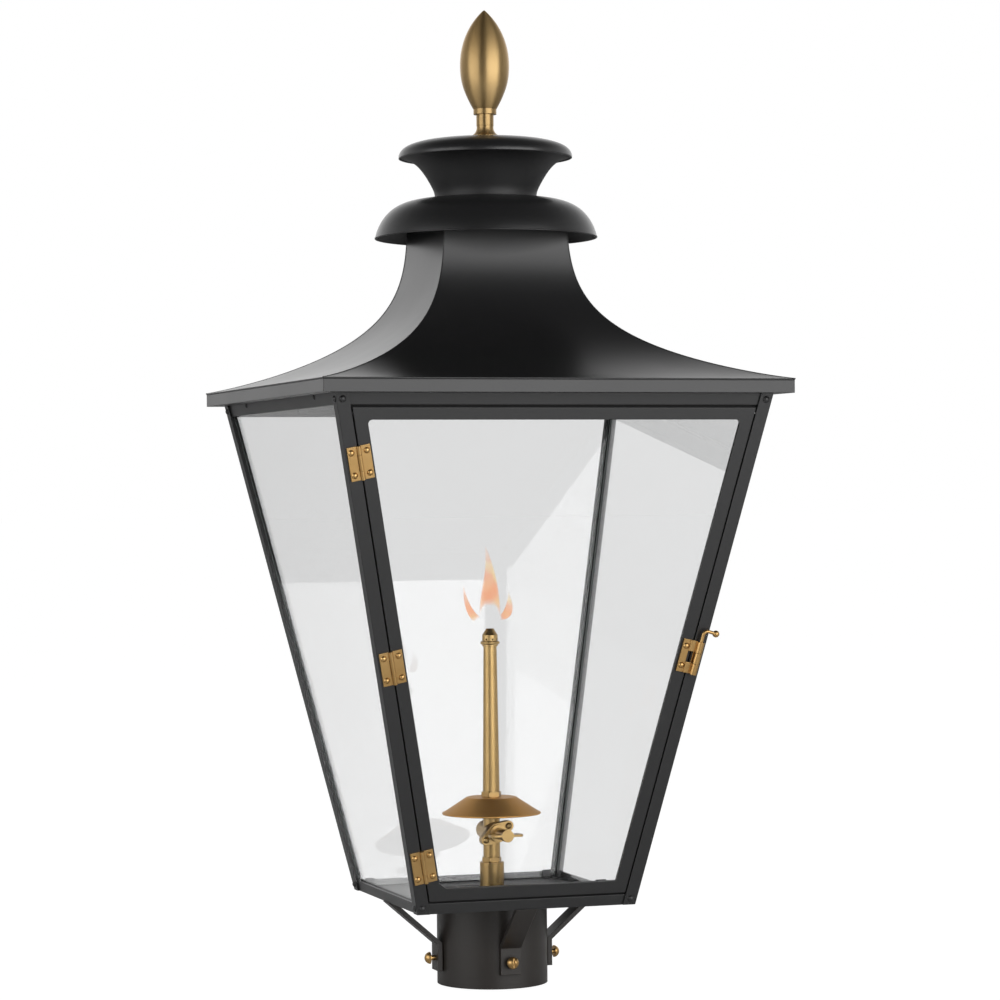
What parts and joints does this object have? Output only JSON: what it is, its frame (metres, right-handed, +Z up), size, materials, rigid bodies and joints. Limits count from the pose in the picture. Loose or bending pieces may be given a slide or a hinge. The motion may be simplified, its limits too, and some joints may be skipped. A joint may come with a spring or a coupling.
{
  "type": "post top gas lantern",
  "caption": "Square tapered post lantern with a hinged glass door, a curved vented roof, a bud finial, a brass gas burner with a valve, and a round fitter clamped to a post by screws.",
  "frame": {"origin": "centre of the fitter's lower mouth", "axes": "+Z up along the post and the fitter, -Y out through the door, +X to the latch side"},
  "size_m": [0.3556, 0.3556, 0.7399],
  "materials": {
    "frame_black": "satin black paint",
    "fitter_black": "satin warm black paint",
    "finial_brass": "aged brass, brushed round",
    "burner_brass": "aged brass, turned",
    "hardware_brass": "aged brass, satin",
    "plated_steel": "zinc plated",
    "clear_glass": "clear, polished"
  },
  "bodies": {
    "frame": {"base_plate": "frame_black", "bottom_frame": "frame_black", "burner_nut": "burner_brass", "burner_tip": "burner_brass", "burner_tube": "burner_brass", "cap_spacer": "plated_steel", "corner_post_back_left": "frame_black", "corner_post_back_right": "frame_black", "corner_post_front_left": "frame_black", "corner_post_front_right": "frame_black", "door_stops": "frame_black", "eave_band": "frame_black", "finial_bud": "finial_brass", "finial_foot": "finial_brass", "fitter_brackets": "fitter_black", "floor_lock_nut": "plated_steel", "frame_rivets": "frame_black", "glass_back": "clear_glass", "glass_clips": "frame_black", "glass_left": "clear_glass", "glass_right": "clear_glass", "heat_shield": "burner_brass", "hinge_frame_leaves": "hardware_brass", "hinge_frame_rivets": "hardware_brass", "hinge_pins": "hardware_brass", "hood_spacer": "plated_steel", "inlet_nipple": "plated_steel", "latch_keeper": "hardware_brass", "pipe_coupling": "burner_brass", "pipe_nut": "burner_brass", "post_fitter": "fitter_black", "roof_panel_back": "frame_black", "roof_panel_front": "frame_black", "roof_panel_left": "frame_black", "roof_panel_right": "frame_black", "seat_strips": "frame_black", "tie_rod": "plated_steel", "tie_rod_nuts": "plated_steel", "top_frame": "frame_black", "valve_body": "burner_brass", "valve_flange": "burner_brass", "valve_screws": "burner_brass", "vent_bridge": "frame_black", "vent_cap": "frame_black", "vent_hood": "frame_black", "vent_neck": "frame_black"},
    "door": {"door_frame": "frame_black", "door_glass": "clear_glass", "door_glass_clips": "frame_black", "hinge_door_leaves": "hardware_brass", "door_rivets": "hardware_brass", "latch_plate": "hardware_brass"},
    "latch_pin": {"latch_pin": "hardware_brass"},
    "valve_key": {"valve_key": "burner_brass"},
    "clamp_screw_front": {"clamp_screw_front": "hardware_brass"},
    "clamp_screw_right": {"clamp_screw_right": "hardware_brass"},
    "clamp_screw_back": {"clamp_screw_back": "hardware_brass"},
    "clamp_screw_left": {"clamp_screw_left": "hardware_brass"}
  },
  "joints": [
    {"name": "door_hinge", "type": "hinge", "parent": "frame", "child": "door", "pos_m": [-0.11367, -0.12558, 0.24715], "axis": [0.2046, 0.2046, -0.9572], "range_deg": [0, 110]},
    {"name": "latch_pin_lift", "type": "slide", "parent": "door", "child": "latch_pin", "axis": [0.2046, -0.2046, 0.9572], "range_m": [0, 0.018]},
    {"name": "gas_valve_turn", "type": "hinge", "parent": "frame", "child": "valve_key", "pos_m": [0, -0.0395, 0.1147], "axis": [0, -1, 0], "range_deg": [0, 90]},
    {"name": "clamp_front_drive", "type": "slide", "parent": "frame", "child": "clamp_screw_front", "axis": [0, 1, 0], "range_m": [-0.0035, 0.0038]},
    {"name": "clamp_right_drive", "type": "slide", "parent": "frame", "child": "clamp_screw_right", "axis": [-1, 0, 0], "range_m": [-0.0035, 0.0038]},
    {"name": "clamp_back_drive", "type": "slide", "parent": "frame", "child": "clamp_screw_back", "axis": [0, -1, 0], "range_m": [-0.0035, 0.0038]},
    {"name": "clamp_left_drive", "type": "slide", "parent": "frame", "child": "clamp_screw_left", "axis": [1, 0, 0], "range_m": [-0.0035, 0.0038]}
  ]
}
